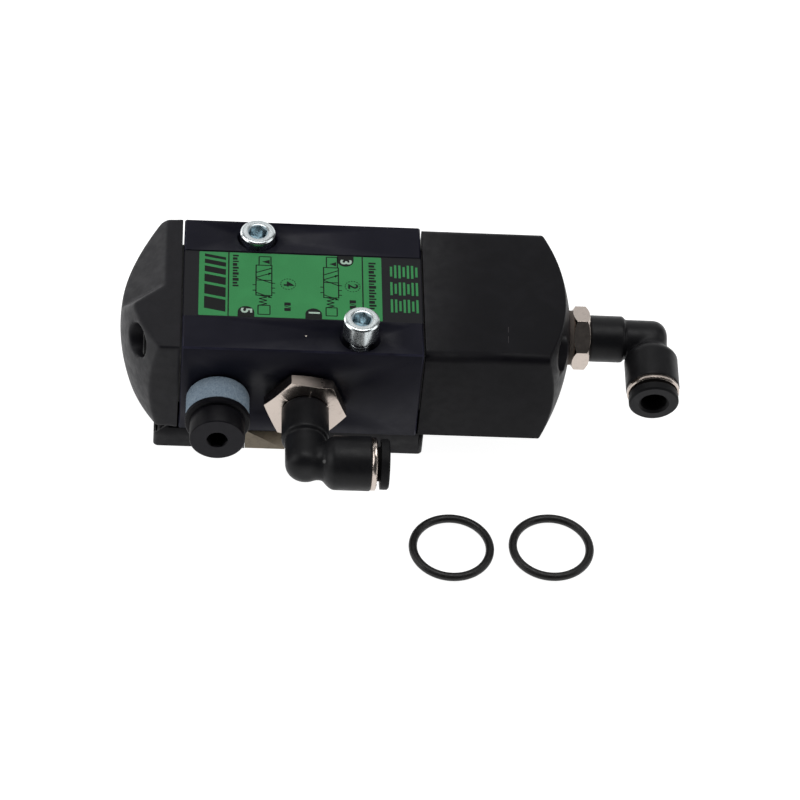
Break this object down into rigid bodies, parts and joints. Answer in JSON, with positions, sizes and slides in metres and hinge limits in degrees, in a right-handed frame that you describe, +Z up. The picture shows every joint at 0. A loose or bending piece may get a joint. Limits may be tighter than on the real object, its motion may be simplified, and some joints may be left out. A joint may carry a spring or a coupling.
{
  "type": "air-piloted directional valve",
  "caption": "Air-piloted, spring-return spool valve with a NAMUR base plate, push-in elbow fittings, an exhaust silencer and two loose interface O-rings.",
  "frame": {"origin": "centre of the mounting screw pattern on the underside of the base plate", "axes": "+X along the spool towards the pilot end, +Z up away from the mounting face"},
  "size_m": [0.1325, 0.082, 0.0405],
  "materials": {
    "anodised_aluminium": "navy anodised, satin",
    "bare_aluminium": "turned and polished",
    "printed_label": "printed film",
    "black_plastic": "fine moulded texture",
    "beige_plastic": "moulded",
    "white_acetal": "turned",
    "porous_plastic": "sintered, porous",
    "seal_rubber": "smooth nitrile",
    "zinc_plated_steel": "bright zinc",
    "blackened_steel": "black oxide",
    "nickel_plated_brass": "bright nickel",
    "spring_steel": "drawn wire and strip"
  },
  "bodies": {
    "valve": {"valve_body": "anodised_aluminium", "label_plate": "printed_label", "base_plate": "black_plastic", "function_plate": "beige_plastic", "body_gasket": "seal_rubber", "spring_cap": "black_plastic", "spring_cap_gasket": "seal_rubber", "spring_cap_screws": "blackened_steel", "pilot_cap": "black_plastic", "pilot_cap_gasket": "seal_rubber", "pilot_cap_screws": "blackened_steel", "spool_seals": "seal_rubber", "sleeve_spacers": "white_acetal", "return_spring": "spring_steel", "silencer_stem": "black_plastic", "silencer_element": "porous_plastic", "silencer_cap": "black_plastic", "inlet_stud": "nickel_plated_brass", "inlet_thread_seal": "seal_rubber", "inlet_swivel_seal": "seal_rubber", "inlet_snap_ring": "spring_steel", "pilot_stud": "nickel_plated_brass", "pilot_thread_seal": "seal_rubber", "pilot_swivel_seal": "seal_rubber", "pilot_snap_ring": "spring_steel"},
    "spool": {"spool": "bare_aluminium", "spring_seat": "white_acetal", "pilot_piston": "white_acetal", "piston_seal": "seal_rubber"},
    "inlet_elbow": {"inlet_elbow": "black_plastic", "inlet_collar": "nickel_plated_brass", "inlet_tube_seal": "seal_rubber", "inlet_grip_ring": "spring_steel"},
    "inlet_button": {"inlet_release_button": "black_plastic"},
    "pilot_elbow": {"pilot_elbow": "black_plastic", "pilot_collar": "nickel_plated_brass", "pilot_tube_seal": "seal_rubber", "pilot_grip_ring": "spring_steel"},
    "pilot_button": {"pilot_release_button": "black_plastic"},
    "front_screw": {"front_mounting_screw": "zinc_plated_steel"},
    "rear_screw": {"rear_mounting_screw": "zinc_plated_steel"},
    "o_ring_1": {"interface_o_ring_1": "seal_rubber"},
    "o_ring_2": {"interface_o_ring_2": "seal_rubber"}
  },
  "joints": [
    {"name": "spool_shift", "type": "slide", "parent": "valve", "child": "spool", "axis": [-1, 0, 0], "range_m": [0, 0.005], "stiffness_N_per_m": 900, "springref_m": -0.004, "deforming": ["return_spring"]},
    {"name": "inlet_swivel", "type": "hinge", "parent": "valve", "child": "inlet_elbow", "pos_m": [0, -0.03, 0.0185], "axis": [0, -1, 0], "range_deg": [-150, 150]},
    {"name": "inlet_release", "type": "slide", "parent": "inlet_elbow", "child": "inlet_button", "axis": [-1, 0, 0], "range_m": [0, 0.0008], "stiffness_N_per_m": 400, "springref_m": -0.0005},
    {"name": "pilot_swivel", "type": "hinge", "parent": "valve", "child": "pilot_elbow", "pos_m": [0.072, 0, 0.0205], "axis": [1, 0, 0], "continuous": true},
    {"name": "pilot_release", "type": "slide", "parent": "pilot_elbow", "child": "pilot_button", "axis": [0, 0.9962, 0.0872], "range_m": [0, 0.0008], "stiffness_N_per_m": 400, "springref_m": -0.0005},
    {"name": "front_screw_drive", "type": "slide", "parent": "valve", "child": "front_screw", "axis": [0, 0, -1], "range_m": [0, 0.0119]},
    {"name": "rear_screw_drive", "type": "slide", "parent": "valve", "child": "rear_screw", "axis": [0, 0, -1], "range_m": [0, 0.0078]},
    {"name": "o_ring_1_lift", "type": "slide", "parent": "valve", "child": "o_ring_1", "axis": [0, 0, 1], "range_m": [0, 0.05]},
    {"name": "o_ring_2_lift", "type": "slide", "parent": "valve", "child": "o_ring_2", "axis": [0, 0, 1], "range_m": [0, 0.05]}
  ]
}
